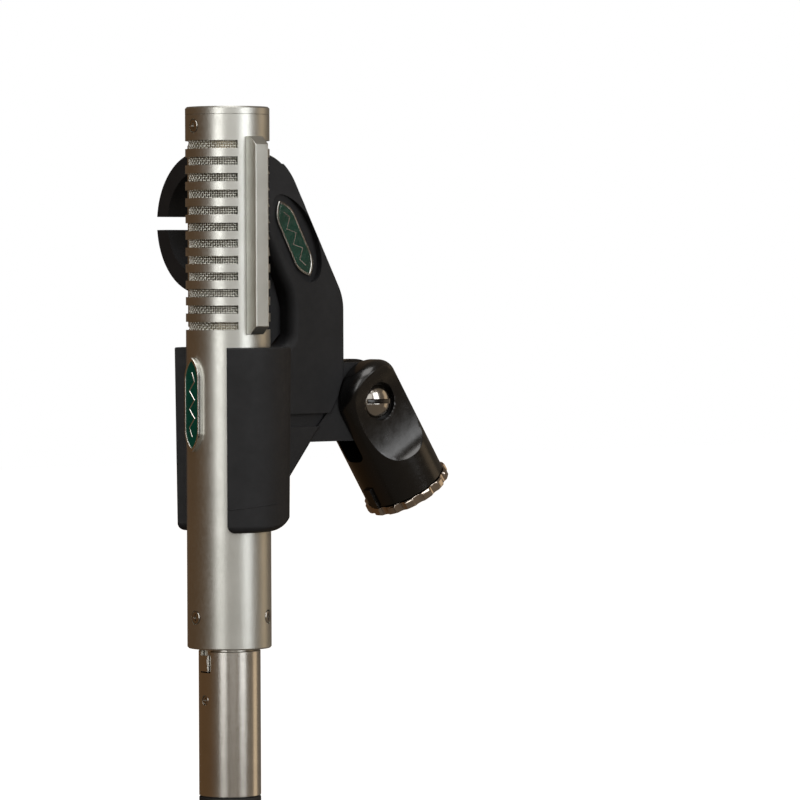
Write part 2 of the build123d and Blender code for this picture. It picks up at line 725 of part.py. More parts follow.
def cradle_blank(shift, foot_round):
    """Tapered round block, upside down from its top. A shift moves its centre forward and widens it."""
    top = Plane(MIC.offset(CRADLE_HIGH_Z).origin, x_dir=(1, 0, 0), z_dir=(0, 0, -1))
    with BuildPart() as blank:
        with BuildSketch(top):
            with Locations((0, shift - CRADLE_BACK)):
                Circle(CRADLE_R + shift)
        extrude(amount=CRADLE_HIGH_Z - CRADLE_LOW_Z, taper=CRADLE_TAPER)
        fillet(blank.edges().filter_by(GeomType.CIRCLE).sort_by(Axis.Z)[0], foot_round)
    return blank.part


def tip_waste():
    """What rounds the lower corner of the cradle's tip on the right."""
    turn = radians(CRADLE_OPENING)
    corner = Plane(MIC.offset(CRADLE_LOW_Z).origin, x_dir=(cos(turn), sin(turn), 0), z_dir=(sin(turn), -cos(turn), 0))
    with BuildPart() as waste:
        with BuildSketch(corner):
            Rectangle(CRADLE_TIP_ROUND, CRADLE_TIP_ROUND, align=(Align.MIN, Align.MIN))
            with Locations((CRADLE_TIP_ROUND, CRADLE_TIP_ROUND)):
                Circle(CRADLE_TIP_ROUND, mode=Mode.SUBTRACT)
        extrude(amount=30)
    return waste.part


def clip_cradle():
    """Open channel that holds the tube, slightly narrower at its foot, with a well rounded back."""
    blank = cradle_blank(0, 2.2)
    back = cradle_blank(CRADLE_FOOT_SHIFT - 0.1, CRADLE_FOOT_ROUND)
    tip = tip_waste()
    with BuildPart() as cradle:
        add(blank)
        fillet(cradle.edges().filter_by(GeomType.CIRCLE).sort_by(Axis.Z)[-1], 0.5)
        add(back, mode=Mode.INTERSECT)
        with BuildSketch(MIC.offset(CRADLE_LOW_Z - 1)):
            Circle(CRADLE_BORE)
            wedge(CRADLE_OPENING)
        extrude(amount=CRADLE_HIGH_Z - CRADLE_LOW_Z + 2, mode=Mode.SUBTRACT)
        add(tip, mode=Mode.SUBTRACT)
        add(tip.mirror(side_plane(0)), mode=Mode.SUBTRACT)
    save(cradle, "clip_cradle")


def oval_plane(depth):
    """Plane of the clip's badge, a depth below the plate's face. Its local y is the oval's length."""
    tilt = radians(BADGE_OVAL_TILT)
    centre = (MIC_X + PLATE_FACE_X - depth, MIC_Y + BADGE_OVAL_Y, MIC_Z + BADGE_OVAL_Z)
    return Plane(centre, x_dir=(0, cos(tilt), sin(tilt)), z_dir=(1, 0, 0))


def pivot_plane(x):
    """Plane facing +X at the pivot. Its local y runs up the adapter's axis."""
    return Plane((x, PIVOT_Y, PIVOT_Z), x_dir=(0, cos(lean), sin(lean)), z_dir=(1, 0, 0))


def crown_waste():
    """What is cut from the plate so that its top follows the sleeve's round."""
    with BuildPart() as waste:
        with BuildSketch(front_plane(0)):
            with Locations((SLEEVE_X + 30, SLEEVE_Z + 30)):
                Rectangle(60, 60)
            with Locations((SLEEVE_X, SLEEVE_Z)):
                Circle(SLEEVE_R, mode=Mode.SUBTRACT)
        extrude(amount=-80)
    return waste.part


def plate_profile():
    """The side plate's outline, on its back."""
    with BuildSketch(side_plane(PLATE_BACK_X)) as profile:
        with BuildLine():
            Polyline((10, NECK_LOW_Z), (10, NECK_HIGH_Z), (31, NECK_HIGH_Z))
            ThreePointArc((31, NECK_HIGH_Z), (33.8, 90), (35, 92.8))
            Line((35, 92.8), (35, 100))
            ThreePointArc((35, 100), (34.4, 104.2), (32.6, 108))
            Polyline((32.6, 108), (20, 132), (20, 149), (39.4, 149), (39.4, 138.3))
            ThreePointArc((39.4, 138.3), (39.93, 133.96), (41.5, 129.8))
            Line((41.5, 129.8), (53.5, 107.1))
            ThreePointArc((53.5, 107.1), (54.93, 103.5), (55.4, 99.6))
            Line((55.4, 99.6), (55.4, 80.5))
            ThreePointArc((55.4, 80.5), (54.9, 76.4), (53.2, 72.6))
            Line((53.2, 72.6), (50.7, 68.4))
            ThreePointArc((50.7, 68.4), (49, 66.2), (46.8, 64.4))
            ThreePointArc((46.8, 64.4), (44.3, 62), (42.2, 59.2))
            Polyline((42.2, 59.2), (34.1, 48.7), (25.8, NECK_LOW_Z), (10, NECK_LOW_Z))
        make_face()
    return profile.sketch


def badge_pocket():
    """What is cut out for the oval pocket of the clip's badge."""
    with BuildPart() as pocket:
        with BuildSketch(oval_plane(POCKET_DEPTH)):
            Ellipse(BADGE_OVAL_SHORT, BADGE_OVAL_LONG)
        extrude(amount=POCKET_DEPTH + 1)
    return pocket.part


def clip_plate():
    """Side plate with the tongue on the pivot. The badge's pocket is in its face."""
    profile = plate_profile()
    crown = crown_waste()
    pocket = badge_pocket()
    pivot = (PIVOT_Y - MIC_Y, PIVOT_Z - MIC_Z)
    with BuildPart() as plate:
        extrude(profile, amount=PLATE_FACE_X - PLATE_BACK_X)
        outline = plate.faces().filter_by(Axis.X).sort_by(Axis.X)[-1].edges()
        front = outline.filter_by(lambda edge: edge.center().Y < MIC_Y + 36 and edge.center().Z > MIC_Z + 88.9)
        fillet(front.filter_by(lambda edge: edge.center().Z < MIC_Z + 125), PLATE_FRONT_ROUND)
        back = outline.filter_by(lambda edge: edge.center().Y > MIC_Y + 39 and edge.center().Z > MIC_Z + 59)
        fillet(back, PLATE_EDGE_ROUND)
        add(crown, mode=Mode.SUBTRACT)
        with BuildSketch(side_plane(PLATE_FACE_X)):
            Polygon((12, GROOVE_LOW_Z), (60, GROOVE_LOW_Z), (60, GROOVE_HIGH_Z), (12, GROOVE_HIGH_Z), align=None)
        extrude(amount=-GROOVE_DEPTH, mode=Mode.SUBTRACT)
        with BuildSketch(side_plane(PLATE_BACK_X - 1)):
            with Locations(pivot):
                Circle(YOKE_R + YOKE_CLEAR)
        extrude(amount=20, mode=Mode.SUBTRACT)
        with BuildSketch(side_plane(-MIC_X - TONGUE_HALF)):
            with Locations(pivot):
                Circle(TONGUE_R)
            Polygon((40.5, pivot[1] - TONGUE_R), (pivot[0], pivot[1] - TONGUE_R),
                    (pivot[0], pivot[1] + TONGUE_R), (49.2, pivot[1] + TONGUE_R), (49.2, GROOVE_HIGH_Z + 0.2),
                    (45.3, GROOVE_LOW_Z), align=None)
        extrude(amount=2 * TONGUE_HALF)
        add(pocket, mode=Mode.SUBTRACT)
        with BuildSketch(MIC.offset(CRADLE_LOW_Z - 1)):
            with Locations((0, CRADLE_BACK)):
                Circle(CRADLE_R)
        extrude(amount=CRADLE_HIGH_Z - CRADLE_LOW_Z + 1, mode=Mode.SUBTRACT)
        for start, reach, radius in ((0, SLEEVE_BACK_Y, SLEEVE_BORE), (SLEEVE_BACK_Y, 40, SLEEVE_BORE + 1)):
            with BuildSketch(front_plane(-start)):
                with Locations((SLEEVE_X, SLEEVE_Z)):
                    Circle(radius)
            extrude(amount=-reach, mode=Mode.SUBTRACT)
        with BuildSketch(side_plane(-MIC_X - 20)):
            with Locations(pivot):
                Circle(PIVOT_R + RUNNING)
        extrude(amount=40, mode=Mode.SUBTRACT)
    save(plate, "clip_plate")


def clip_web():
    """Thin web in front of the plate, between the cradle's top and the sleeve."""
    with BuildPart() as web:
        with BuildSketch(side_plane(PLATE_BACK_X)):
            Polygon((8, NECK_HIGH_Z), (31, NECK_HIGH_Z), (35, 92.8), (35, 100), (32.6, 108), (28.4, WEB_TOP_Z),
                    (8, WEB_TOP_Z), align=None)
        extrude(amount=WEB_THICK)
        extrude(plate_profile(), amount=WEB_THICK, mode=Mode.SUBTRACT)
    save(web, "clip_web")


def clip_neck():
    """Gusset behind the cradle, in front of the plate's face."""
    with BuildPart() as neck:
        with BuildSketch(MIC.offset(NECK_LOW_Z)):
            Polygon((PLATE_FACE_X, 8), (-4, 8), (-4, 20), (-11, 26), (PLATE_FACE_X, 26), align=None)
            with Locations((0, CRADLE_BACK)):
                Circle(CRADLE_R, mode=Mode.SUBTRACT)
        extrude(amount=NECK_HIGH_Z - NECK_LOW_Z)
    save(neck, "clip_neck")


def clip_sleeve():
    """Split sleeve for a second microphone. Its axis runs along Y beside the plate."""
    profile = plate_profile()
    with BuildPart() as sleeve:
        with BuildSketch(front_plane(-SLEEVE_FRONT_Y)):
            with Locations((SLEEVE_X, SLEEVE_Z)):
                Circle(SLEEVE_R)
        extrude(amount=-(SLEEVE_BACK_Y - SLEEVE_FRONT_Y))
        fillet(sleeve.edges().filter_by(GeomType.CIRCLE), PLATE_EDGE_ROUND)
        with BuildSketch(front_plane(-SLEEVE_FRONT_Y)):
            with Locations((SLEEVE_X, SLEEVE_Z)):
                Circle(SLEEVE_BORE)
            with Locations((SLEEVE_X - SLEEVE_R, SLEEVE_Z)):
                Rectangle(20, SLEEVE_SLIT)
        extrude(amount=-40, mode=Mode.SUBTRACT)
        extrude(profile, amount=PLATE_FACE_X - PLATE_BACK_X + 1, mode=Mode.SUBTRACT)
        with BuildSketch(side_plane(PLATE_BACK_X)):
            Polygon((8, 80), (36, 80), (36, WEB_TOP_Z), (8, WEB_TOP_Z), align=None)
        extrude(amount=WEB_THICK, mode=Mode.SUBTRACT)
    save(sleeve, "clip_sleeve")


def clip_badge():
    """Pointed badge on the pocket's floor: metal plate, enamel and a clear dome."""
    half = BADGE_HALF
    long = CLIP_BADGE_LONG
    rows = (
        ("clip_badge_enamel", half - 0.57, long - 1.03, POCKET_DEPTH - FIT - 0.42, 0.3, 0),
        ("clip_badge_dome", half - 0.1, long - 0.2, POCKET_DEPTH - FIT - 0.82, 0.7, 25),
    )
    with BuildPart() as base:
        with BuildSketch(oval_plane(POCKET_DEPTH - FIT)):
            add(ogive(half, -long, long, BADGE_POINT))
        extrude(amount=0.8)
        with BuildSketch(oval_plane(POCKET_DEPTH - FIT - 0.8)):
            add(ogive(half - 0.55, 1.0 - long, long - 1.0, BADGE_POINT - 0.5))
        extrude(amount=-0.4, mode=Mode.SUBTRACT)
    save(base, "clip_badge_frame")
    for name, wide, reach, depth, thick, slope in rows:
        with BuildPart() as layer:
            with BuildSketch(oval_plane(depth)):
                add(ogive(wide, -reach, reach, BADGE_POINT - 0.5))
            extrude(amount=thick, taper=slope)
        save(layer, name)


# --- swivel adapter ---

def yoke():
    """Swivel body: two cheeks round the tongue, above the thread insert."""
    drop = PIVOT_HEIGHT - YOKE_FOOT
    with BuildPart() as body:
        with BuildSketch(ADAPTER.offset(YOKE_FOOT)):
            Circle(YOKE_R)
        extrude(amount=drop + YOKE_R + 2)
        with BuildSketch(pivot_plane(-20)):
            Circle(YOKE_R)
            with Locations((0, -drop / 2)):
                Rectangle(2 * YOKE_R, drop)
        extrude(amount=40, mode=Mode.INTERSECT)
        crest = body.edges().filter_by(lambda edge: edge.center().Z > PIVOT_Z and edge.length > 5)
        fillet(crest, YOKE_CREST_ROUND)
        dish = Plane((0, PIVOT_Y, PIVOT_Z), x_dir=(0, -sin(lean), cos(lean)), z_dir=(0, cos(lean), sin(lean)))
        with BuildSketch(dish):
            with Locations((-RECESS_DROP, RECESS_X), (-RECESS_DROP, -RECESS_X)):
                Ellipse(RECESS_LONG, RECESS_DEPTH)
        extrude(amount=20, both=True, mode=Mode.SUBTRACT)
        with BuildSketch(ADAPTER.offset(YOKE_FOOT)):
            with Locations((0, -YOKE_R)):
                Rectangle(TAB_WIDTH, 2 * TAB_PROUD)
        extrude(amount=TAB_HEIGHT)
        with BuildSketch(dish):
            with Locations((-YOKE_SLOT_DROP, 0)):
                RectangleRounded(60, 2 * YOKE_SLOT_HALF, YOKE_SLOT_ROUND, align=(Align.MIN, Align.CENTER))
        extrude(amount=20, both=True, mode=Mode.SUBTRACT)
        with BuildSketch(pivot_plane(-20)):
            Circle(PIVOT_R + RUNNING)
        extrude(amount=40, mode=Mode.SUBTRACT)
        with BuildSketch(pivot_plane(HEAD_SEAT_X)):
            Circle(HEAD_POCKET_R)
        extrude(amount=10, mode=Mode.SUBTRACT)
        with BuildSketch(pivot_plane(NUT_SEAT_X)):
            RegularPolygon(NUT_ACROSS / 2 + FIT, 6, major_radius=False)
        extrude(amount=-10, mode=Mode.SUBTRACT)
        with BuildSketch(ADAPTER):
            Circle(INSERT_R + FIT)
        extrude(amount=THREAD_LENGTH + FIT, mode=Mode.SUBTRACT)
    save(body, "yoke")


def pivot_hardware():
    """Slotted screw through the cheeks and its nut."""
    seat = HEAD_SEAT_X + 0.1
    top = seat + HEAD_DOME
    across = Plane((0, PIVOT_Y, PIVOT_Z), x_dir=(0, 1, 0), z_dir=(0, 0, -1))
    with BuildPart() as screw:
        with BuildSketch(across):
            with BuildLine():
                Polyline((0, top), (0, seat), (HEAD_R, seat), (HEAD_R, seat + 0.7))
                ThreePointArc((HEAD_R, seat + 0.7), (0.6 * HEAD_R, seat + 0.76 * HEAD_DOME), (0, top))
            make_face()
        revolve(axis=Axis((0, PIVOT_Y, PIVOT_Z), (1, 0, 0)))
        with BuildSketch(pivot_plane(seat)):
            Circle(PIVOT_R)
        extrude(amount=-(HEAD_SEAT_X - NUT_SEAT_X + 3.4))
        with BuildSketch(Plane((top, PIVOT_Y, PIVOT_Z), x_dir=(0, 1, 0), z_dir=(1, 0, 0))):
            Rectangle(12, SCREW_SLOT)
        extrude(amount=-1.7, mode=Mode.SUBTRACT)
    save(screw, "pivot_screw")
    with BuildPart() as nut:
        with BuildSketch(pivot_plane(NUT_SEAT_X - FIT)):
            RegularPolygon(NUT_ACROSS / 2, 6, major_radius=False)
            Circle(PIVOT_R + RUNNING, mode=Mode.SUBTRACT)
        extrude(amount=-3.0)
    save(nut, "pivot_nut")


def stand_fittings():
    """Threaded insert, plain inside, and the scalloped ring that turns on it."""
    with BuildPart() as insert:
        with BuildSketch(ADAPTER):
            Circle(INSERT_R)
            Circle(THREAD_R, mode=Mode.SUBTRACT)
        extrude(amount=THREAD_LENGTH)
    save(insert, "thread_insert")
    with BuildPart() as ring:
        with BuildSketch(ADAPTER.offset(0.2)):
            Circle(LOCK_RING_R)
        extrude(amount=YOKE_FOOT - 0.5)
        chamfer(ring.edges().filter_by(GeomType.CIRCLE), 0.4)
        with BuildSketch(ADAPTER):
            Circle(INSERT_R + RUNNING)
            with PolarLocations(LOCK_RING_R + SCALLOP_R - SCALLOP_DEPTH, LOCK_RING_SCALLOPS):
                Circle(SCALLOP_R)
        extrude(amount=YOKE_FOOT, mode=Mode.SUBTRACT)
    save(ring, "lock_ring")


housing_tube()
top_cap()
housing_screws()
side_bar("side_bar_left", -1)
side_bar("side_bar_right", 1)
screen("grille_mesh_front", SCREEN_R, 0.35, 73, 91.6, 152.3, False)
screen("grille_mesh_back", SCREEN_R, 0.35, 73, 91.6, 152.3, True)
screen("inner_screen_front", 10.85, 0.15, 60, FLUX_LOW_Z + 0.1, FLUX_HIGH_Z - 0.1, False)
screen("inner_screen_back", 10.85, 0.15, 60, FLUX_LOW_Z + 0.1, FLUX_HIGH_Z - 0.1, True)
end_blocks()
for hand, way in (("left", -1), ("right", 1)):
    flux_plate(f"flux_plate_{hand}", way)
    magnets(f"magnets_{hand}", way)
    pole_piece(f"pole_piece_{hand}", way)
ribbon()
ribbon_clamps()
motor_screws()
rings("damping_ring", (TUBE_BORE - FIT, 6.0, 88.0, 91.0))
transformer()
leads()
base_ring()
pin_insert()
plug_shell()
plug_inside()
tube_badge()
clip_cradle()
clip_plate()
clip_web()
clip_neck()
clip_sleeve()
clip_badge()
yoke()
pivot_hardware()
stand_fittings()
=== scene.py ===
import json
from math import cos, pi, radians, sin

import bmesh
import bpy
from mathutils import Matrix, Vector


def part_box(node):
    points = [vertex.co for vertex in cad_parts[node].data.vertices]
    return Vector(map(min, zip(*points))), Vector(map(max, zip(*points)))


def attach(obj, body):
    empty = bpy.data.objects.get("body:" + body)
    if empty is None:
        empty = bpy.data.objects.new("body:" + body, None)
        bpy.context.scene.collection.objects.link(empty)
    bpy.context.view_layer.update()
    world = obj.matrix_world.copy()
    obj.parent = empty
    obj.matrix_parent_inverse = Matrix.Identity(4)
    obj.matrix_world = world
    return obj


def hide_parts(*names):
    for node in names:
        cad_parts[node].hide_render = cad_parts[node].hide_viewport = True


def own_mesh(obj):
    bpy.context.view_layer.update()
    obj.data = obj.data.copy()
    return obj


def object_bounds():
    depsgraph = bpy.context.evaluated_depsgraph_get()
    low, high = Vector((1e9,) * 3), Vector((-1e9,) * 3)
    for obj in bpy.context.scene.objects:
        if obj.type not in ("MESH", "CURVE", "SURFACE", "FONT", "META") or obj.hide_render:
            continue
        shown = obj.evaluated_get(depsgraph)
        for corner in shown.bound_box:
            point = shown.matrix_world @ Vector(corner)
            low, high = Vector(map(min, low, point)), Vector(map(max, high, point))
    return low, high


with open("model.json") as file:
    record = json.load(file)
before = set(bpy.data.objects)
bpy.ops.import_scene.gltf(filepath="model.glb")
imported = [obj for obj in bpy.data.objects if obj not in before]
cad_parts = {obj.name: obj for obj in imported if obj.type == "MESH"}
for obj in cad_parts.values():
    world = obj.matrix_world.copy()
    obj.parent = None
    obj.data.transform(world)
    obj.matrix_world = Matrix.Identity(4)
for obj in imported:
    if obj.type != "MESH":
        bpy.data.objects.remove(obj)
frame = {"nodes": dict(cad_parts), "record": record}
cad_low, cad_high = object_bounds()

# Looks of a ribbon microphone in its clip. Everything is in metres, in the frame's own axes:
# +Z runs up along the microphone, which faces -Y. Lengths written with MM are millimetres.
MM = 0.001

# --- places, from the frame ---
tube_low, tube_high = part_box("housing_tube")
AXIS_X = (tube_low.x + tube_high.x) / 2
AXIS_Y = (tube_low.y + tube_high.y) / 2
FOOT_Z = tube_low.z


# ---------------------------------------------------------------- materials

FIELD_LOW = 0.3
FIELD_HIGH = 0.7


class Surface:
    """One node material, built step by step. Textures follow the piece's own coordinates."""

    def __init__(self, name, **sockets):
        self.material = bpy.data.materials.new(name)
        self.material.use_nodes = True
        self.tree = self.material.node_tree
        self.shader = self.tree.nodes["Principled BSDF"]
        self.place = self.tree.nodes.new("ShaderNodeTexCoord").outputs["Object"]
        for key, value in sockets.items():
            self.shader.inputs[key.replace("_", " ")].default_value = value

    def noise(self, per_mm, detail=3.0, stretch=(1, 1, 1)):
        """Noise whose features come at about that many per millimetre."""
        squeeze = self.tree.nodes.new("ShaderNodeMapping")
        squeeze.inputs["Scale"].default_value = stretch
        self.tree.links.new(self.place, squeeze.inputs["Vector"])
        field = self.tree.nodes.new("ShaderNodeTexNoise")
        field.inputs["Scale"].default_value = per_mm / MM
        field.inputs["Detail"].default_value = detail
        self.tree.links.new(squeeze.outputs["Vector"], field.inputs["Vector"])
        return field.outputs["Fac"]

    def spread(self, field, low, high):
        """The field's usual swing, stretched to run from low to high."""
        ramp = self.tree.nodes.new("ShaderNodeMapRange")
        ramp.inputs["From Min"].default_value = FIELD_LOW
        ramp.inputs["From Max"].default_value = FIELD_HIGH
        ramp.inputs["To Min"].default_value = low
        ramp.inputs["To Max"].default_value = high
        self.tree.links.new(field, ramp.inputs["Value"])
        return ramp.outputs["Result"]

    def colour(self, field, first, second):
        """Base colour that goes from first to second with the field."""
        mix = self.tree.nodes.new("ShaderNodeMix")
        mix.data_type = "RGBA"
        mix.inputs["A"].default_value = (*first, 1)
        mix.inputs["B"].default_value = (*second, 1)
        self.tree.links.new(self.spread(field, 0, 1), mix.inputs["Factor"])
        self.tree.links.new(mix.outputs["Result"], self.shader.inputs["Base Color"])
        return self

    def roughness(self, field, low, high):
        """Roughness that follows the field."""
        self.tree.links.new(self.spread(field, low, high), self.shader.inputs["Roughness"])
        return self

    def bump(self, field, height_mm):
        """Relief that follows the field."""
        relief = self.tree.nodes.new("ShaderNodeBump")
        relief.inputs["Distance"].default_value = height_mm * MM
        relief.inputs["Strength"].default_value = 1.0
        self.tree.links.new(field, relief.inputs["Height"])
        self.tree.links.new(relief.outputs["Normal"], self.shader.inputs["Normal"])
        return self


def metal(name, dark, light, rough, grain_per_mm, grain_mm, stretch=(1, 1, 1)):
    """Metal with a grain in its relief and slow changes of tone and polish."""
    made = Surface(name, Metallic=1.0)
    made.colour(made.noise(per_mm=0.12, detail=4), dark, light)
    made.roughness(made.noise(grain_per_mm / 2, detail=3, stretch=stretch), *rough)
    made.bump(made.noise(grain_per_mm, detail=2, stretch=stretch), grain_mm)
    return made.material


def plastic(name, dark, light, rough, grain_per_mm, grain_mm, **sockets):
    """Moulded plastic or rubber with a fine grain."""
    made = Surface(name, **sockets)
    made.colour(made.noise(per_mm=0.15, detail=4), dark, light)
    made.roughness(made.noise(per_mm=0.4, detail=4), *rough)
    made.bump(made.noise(grain_per_mm, detail=2), grain_mm)
    return made.material


def clear_plastic(name):
    """Clear moulding: see-through, with a gloss that grows towards its edges."""
    made = Surface(name, Metallic=1.0)
    made.colour(made.noise(per_mm=0.2, detail=2), first=(0.90, 0.95, 0.93), second=(1.0, 1.0, 1.0))
    made.roughness(made.noise(per_mm=0.5, detail=3), low=0.03, high=0.08)
    made.bump(made.noise(per_mm=0.35, detail=1), height_mm=0.02)
    glance = made.tree.nodes.new("ShaderNodeFresnel")
    glance.inputs["IOR"].default_value = 1.42
    through = made.tree.nodes.new("ShaderNodeBsdfTransparent")
    blend = made.tree.nodes.new("ShaderNodeMixShader")
    made.tree.links.new(glance.outputs["Fac"], blend.inputs["Fac"])
    made.tree.links.new(through.outputs["BSDF"], blend.inputs[1])
    made.tree.links.new(made.shader.outputs["BSDF"], blend.inputs[2])
    shown = made.tree.nodes["Material Output"].inputs["Surface"]
    made.tree.links.new(blend.outputs["Shader"], shown)
    return made.material


METALS = {
    # slot: (dark, light, roughness range, grain per mm, grain height in mm, stretch of the grain)
    "satin_nickel": ((0.61, 0.62, 0.585), (0.67, 0.68, 0.645), (0.34, 0.42), 2.2, 0.0035),
    "polished_screws": ((0.50, 0.48, 0.45), (0.64, 0.62, 0.58), (0.12, 0.20), 3, 0.001),
    "steel_mesh": ((0.74, 0.74, 0.68), (0.86, 0.86, 0.80), (0.30, 0.42), 9, 0.001),
    "fine_screen": ((0.06, 0.055, 0.045), (0.11, 0.10, 0.085), (0.40, 0.55), 9, 0.006),
    "brass": ((0.26, 0.22, 0.14), (0.36, 0.30, 0.20), (0.32, 0.46), 3, 0.001),
    "soft_iron": ((0.30, 0.29, 0.28), (0.42, 0.41, 0.40), (0.35, 0.50), 4, 0.002),
    "magnet": ((0.48, 0.47, 0.46), (0.60, 0.59, 0.58), (0.20, 0.32), 3, 0.001),
    "foil": ((0.82, 0.82, 0.83), (0.90, 0.90, 0.91), (0.18, 0.30), 3, 0.001),
    "gold_contact": ((0.85, 0.60, 0.25), (0.95, 0.72, 0.34), (0.15, 0.25), 3, 0.001),
    "bright_nickel": ((0.74, 0.73, 0.69), (0.82, 0.81, 0.77), (0.19, 0.27), 4, 0.0012),
    "spring_steel": ((0.50, 0.50, 0.50), (0.62, 0.62, 0.62), (0.20, 0.30), 3, 0.001),
    "chrome_ring": ((0.56, 0.49, 0.43), (0.68, 0.61, 0.54), (0.07, 0.12), 2, 0.0008),
    "copper_winding": ((0.55, 0.24, 0.10), (0.72, 0.34, 0.16), (0.22, 0.36), 3, 0.02, (1, 1, 0.1)),
}
PLASTICS = {
    "insulator": ((0.012, 0.011, 0.010), (0.022, 0.020, 0.019), (0.35, 0.50), 5, 0.004),
    "phenolic": ((0.14, 0.06, 0.025), (0.20, 0.09, 0.04), (0.40, 0.55), 4, 0.008),
    "rubber_part": ((0.010, 0.010, 0.010), (0.018, 0.018, 0.018), (0.62, 0.75), 4, 0.01),
    "wire_insulation": ((0.35, 0.03, 0.02), (0.45, 0.05, 0.03), (0.35, 0.50), 3, 0.003),
    "clamp_plastic": ((0.05, 0.05, 0.055), (0.08, 0.08, 0.085), (0.40, 0.55), 4, 0.006),
}
# as the plastics, and then how strongly each mirrors its surroundings
COATINGS = {
    "matte_black": ((0.0125, 0.0130, 0.0145), (0.0165, 0.0171, 0.0190), (0.54, 0.64), 5, 0.006, 0.28),
    "gloss_black": ((0.0012, 0.0011, 0.0010), (0.0026, 0.0024, 0.0022), (0.20, 0.28), 2, 0.003, 0.75),
    "green_enamel": ((0.0004, 0.050, 0.033), (0.0008, 0.075, 0.050), (0.22, 0.30), 0.6, 0.0015, 0.2),
}


def make_materials():
    """One material for each of the record's slots."""
    made = {name: metal(name, *looks) for name, looks in METALS.items()}
    for name, looks in PLASTICS.items():
        made[name] = plastic(name, *looks)
    for name, (*looks, mirror) in COATINGS.items():
        made[name] = plastic(name, *looks, Specular_IOR_Level=mirror)
    made["clear_dome"] = clear_plastic("clear_dome")
    return made


def dress_frame(materials):
    """Give every CAD node the material of its slot."""
    slots = {row["node"]: row["material_slot"] for row in frame["record"]["subparts"]}
    for node, piece in frame["nodes"].items():
        piece.data.materials.clear()
        piece.data.materials.append(materials[slots[node]])


EDGE_WIDTHS_MM = {
    "side_bar_left": 0.12, "side_bar_right": 0.12, "badge_frame": 0.18,
    "clip_cradle": 0.35, "clip_plate": 0.25, "clip_web": 0.3, "clip_neck": 0.3, "clip_sleeve": 0.2,
    "clip_badge_frame": 0.12, "clip_badge_dome": 0.25,
    "yoke": 0.4, "lock_ring": 0.2, "pivot_screw": 0.12, "pivot_nut": 0.15, "thread_insert": 0.2,
    "plug_latch": 0.12, "cable_boot": 0.25,
}
EDGE_ANGLE = radians(32)
EDGE_SEGMENTS = 2
WELD_WITHIN = 0.002 * MM
TURNED_NODES = ("housing_tube", "top_cap", "plug_shell")
LEAST_OUTWARD = 0.8


def crisp(node, width_mm):
    """Round a CAD node's sharp edges a little, as moulding or tumbling leaves them."""
    piece = frame["nodes"][node]
    weld = piece.modifiers.new("weld", "WELD")
    weld.merge_threshold = WELD_WITHIN
    bevel = piece.modifiers.new("edges", "BEVEL")
    bevel.width = width_mm * MM
    bevel.segments = EDGE_SEGMENTS
    bevel.limit_method = "ANGLE"
    bevel.angle_limit = EDGE_ANGLE
    even = piece.modifiers.new("normals", "WEIGHTED_NORMAL")
    even.keep_sharp = False


def round_normals(node):
    """Exact normals for the faces of a turned piece that stand round its upright axis."""
    piece = frame["nodes"][node]
    tree = bpy.data.node_groups.new(f"round_{node}", "GeometryNodeTree")
    tree.interface.new_socket("Geometry", in_out="INPUT", socket_type="NodeSocketGeometry")
    tree.interface.new_socket("Geometry", in_out="OUTPUT", socket_type="NodeSocketGeometry")

    def step(kind, operation, *inputs):
        """A node of that kind, with links or plain values in its inputs."""
        made = tree.nodes.new(kind)
        made.operation = operation
        for socket, value in inputs:
            if isinstance(value, bpy.types.NodeSocket):
                tree.links.new(value, made.inputs[socket])
            else:
                made.inputs[socket].default_value = value
        return made.outputs

    def vector(operation, *values):
        return step("ShaderNodeVectorMath", operation, *enumerate(values))["Vector"]

    to_piece = piece.matrix_world.inverted()
    centre = to_piece @ Vector((AXIS_X, AXIS_Y, 0))
    along = to_piece.to_3x3() @ Vector((0, 0, 1))
    place = tree.nodes.new("GeometryNodeInputPosition").outputs["Position"]
    own = tree.nodes.new("GeometryNodeInputNormal").outputs["True Normal"]
    reach = vector("SUBTRACT", place, centre)
    outward = vector("NORMALIZE", vector("SUBTRACT", reach, vector("PROJECT", reach, along)))
    facing = step("ShaderNodeVectorMath", "DOT_PRODUCT", (0, own), (1, outward))["Value"]
    sign = step("ShaderNodeMath", "SIGN", (0, facing))[0]
    size = step("ShaderNodeMath", "ABSOLUTE", (0, facing))[0]
    exact = step("ShaderNodeVectorMath", "SCALE", (0, outward), ("Scale", sign))["Vector"]
    follows = step("FunctionNodeCompare", "GREATER_THAN", ("A", size), ("B", LEAST_OUTWARD))["Result"]
    pick = tree.nodes.new("GeometryNodeSwitch")
    pick.input_type = "VECTOR"
    tree.links.new(follows, pick.inputs["Switch"])
    tree.links.new(own, pick.inputs["False"])
    tree.links.new(exact, pick.inputs["True"])
    shaped = tree.nodes.new("GeometryNodeSetMeshNormal")
    shaped.mode = "FREE"
    shaped.domain = "CORNER"
    start = tree.nodes.new("NodeGroupInput")
    end = tree.nodes.new("NodeGroupOutput")
    tree.links.new(start.outputs[0], shaped.inputs["Mesh"])
    tree.links.new(pick.outputs["Output"], shaped.inputs["Custom Normal"])
    tree.links.new(shaped.outputs["Mesh"], end.inputs[0])
    piece.modifiers.new("round", "NODES").node_group = tree


def refine_frame():
    """Small edge rounding and clean normals on the CAD nodes that show."""
    for node, width_mm in EDGE_WIDTHS_MM.items():
        crisp(node, width_mm)
    for node in TURNED_NODES:
        round_normals(node)


# ---------------------------------------------------------------- pieces

